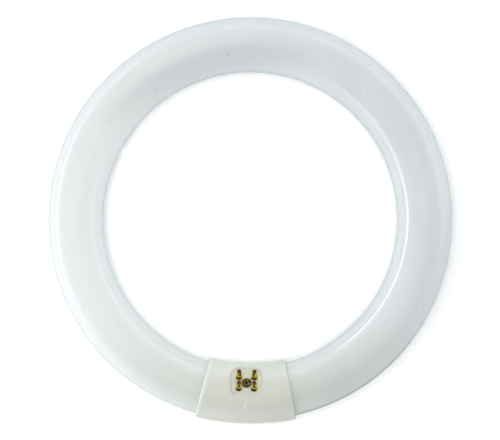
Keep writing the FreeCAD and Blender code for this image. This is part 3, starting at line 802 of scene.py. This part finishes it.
# %% Brass pins
CLEAN_BRASS = (0.84, 0.67, 0.05)
OLIVE_BRASS = (0.56, 0.41, 0.03)
HEATED_BROWN = (0.34, 0.20, 0.06)
SHADE_BROWN = (0.19, 0.065, 0.035)
DENT_SHADE_BLACK = (0.020, 0.012, 0.008)
PIN_HEIGHT = 7.5 * MM
TIP_FADE = (PIN_HEIGHT - 1.0 * MM, PIN_HEIGHT - 0.3 * MM)
FOOT_FADE = (0.30 * MM, 0.80 * MM)
SIDE_SHADE_FADE = (1.55 * MM, 1.95 * MM)
DENT_SHADE_FADE = (0.46 * MM, 0.66 * MM)
MOTTLED_NOISE = (0.35, 0.65)
BRASS_ROUGHNESS = (0.24, 0.42)

brass = PlacedFinish("olive_brass")
brass.set(Metallic=1.0)
tarnish = brass.grain(1.1 * MM, detail=4.0)
gold = brass.blend(brass.spread(tarnish, *MOTTLED_NOISE, 0, 1), CLEAN_BRASS, OLIVE_BRASS)
height = brass.along(pocket_floor, pin_way)
tip_heat = brass.spread(height, *TIP_FADE, 0, 0.9)
browned = brass.blend(tip_heat, gold, HEATED_BROWN)
# painted shade: brown round the foot of each flange and on its near side
foot_shade = brass.spread(height, *FOOT_FADE, 0.9, 0)
side_shade = brass.spread(brass.nearest(flange_shade_points), *SIDE_SHADE_FADE, 0.95, 0)
browned = brass.blend(brass.combine("MAXIMUM", foot_shade, side_shade), browned, SHADE_BROWN)
# painted shade: the dents and a little below them are made black
dent_shade = brass.spread(brass.nearest(dents), *DENT_SHADE_FADE, 1, 0)
brass.wire(brass.blend(dent_shade, browned, DENT_SHADE_BLACK), "Base Color")
brass.wire(brass.spread(tarnish, *USUAL_NOISE, *BRASS_ROUGHNESS), "Roughness")
brass.relief((brass.grain(0.15 * MM), 0.004 * MM))
for name, piece in nodes.items():
    if name.startswith("contact_pin"):
        dress(piece, brass)
print("brass pins: %d" % len(pins))

# %% [markdown]
# The screw between the pins is plated steel gone dark, mottled from dark to tan bronze in the middle of its
# head, where the tan partly stands for painted glints. Round that a ring is painted near black as painted
# shade, the rim is painted olive as a painted highlight, and the bottom of the cross is painted black as
# painted shade. Rings are the same distance from the middle of the head, so one measured distance gives them
# all, and the cross is told from the rest of the head by its depth.

# %% Screw
DARK_PLATING = (0.12, 0.08, 0.05)
BRONZE_AND_GLINT_PLATING = (0.58, 0.46, 0.28)
RING_SHADE_BLACK = (0.05, 0.03, 0.02)
RIM_HIGHLIGHT_OLIVE = (0.50, 0.43, 0.10)
CROSS_SHADE_BLACK = (0.015, 0.012, 0.010)
HEAD_TOP = 0.35 * MM
BLACK_RING = (1.55 * MM, 1.85 * MM)
RIM_HIGHLIGHT_SPAN = (2.05 * MM, 2.35 * MM)
CROSS_DEPTH = (-0.35 * MM, -0.12 * MM)
CROSS_REACH = (1.75 * MM, 2.0 * MM)
PLATING_ROUGHNESS = (0.28, 0.5)
head_middle = pocket_floor + pin_way * HEAD_TOP

bronze = PlacedFinish("dark_bronze")
bronze.set(Metallic=1.0)
mottle = bronze.grain(0.9 * MM, detail=4.0)
# partly painted glints: the mottle runs up to a tan
plating = bronze.blend(bronze.spread(mottle, *MOTTLED_NOISE, 0, 1), DARK_PLATING, BRONZE_AND_GLINT_PLATING)
from_middle = bronze.away(head_middle)
# painted shade: a near black ring round the middle of the head
ring_shade = bronze.spread(from_middle, *BLACK_RING, 0, 0.9)
plating = bronze.blend(ring_shade, plating, RING_SHADE_BLACK)
# painted highlight: the rim is made olive
rim_highlight = bronze.spread(from_middle, *RIM_HIGHLIGHT_SPAN, 0, 1)
plating = bronze.blend(rim_highlight, plating, RIM_HIGHLIGHT_OLIVE)
# painted shade: the bottom of the cross is made black
below_top = bronze.spread(bronze.along(head_middle, pin_way), *CROSS_DEPTH, 1, 0)
in_reach = bronze.spread(from_middle, *CROSS_REACH, 1, 0)
in_cross = bronze.combine("MULTIPLY", below_top, in_reach)
bronze.wire(bronze.blend(in_cross, plating, CROSS_SHADE_BLACK), "Base Color")
bronze.wire(bronze.spread(mottle, *USUAL_NOISE, *PLATING_ROUGHNESS), "Roughness")
bronze.relief((bronze.grain(0.2 * MM), 0.006 * MM))
dress(nodes["base_screw"], bronze)
print("screw head at", [round(value / MM, 2) for value in head_middle], "mm")

# %% [markdown]
# The wires are drawn nickel. Nearly all of their length is hidden in the base, and only their ends show
# inside the open pins, where they turn brown towards the top. So the colour changes with the height along
# the pins, and nothing else is needed.

# %% Wires
DULL_NICKEL = (0.42, 0.40, 0.37)
BRIGHT_NICKEL = (0.60, 0.58, 0.54)
TOP_BROWN = (0.40, 0.27, 0.10)
TOP_BROWN_FADE = (3 * MM, 6 * MM)
WIRE_ROUGHNESS = (0.3, 0.5)
nickel = PlacedFinish("drawn_nickel")
nickel.set(Metallic=1.0)
dulled = nickel.grain(0.6 * MM)
drawn = nickel.blend(dulled, DULL_NICKEL, BRIGHT_NICKEL)
# the wires turn brown towards their tops, inside the pins
browned_top = nickel.spread(nickel.along(pocket_floor, pin_way), *TOP_BROWN_FADE, 0, 0.95)
nickel.wire(nickel.blend(browned_top, drawn, TOP_BROWN), "Base Color")
nickel.wire(nickel.spread(dulled, *USUAL_NOISE, *WIRE_ROUGHNESS), "Roughness")
wires = [name for name in nodes if name.startswith("lead_wire")]
for name in wires:
    dress(nodes[name], nickel)
print("wires: %d" % len(wires))
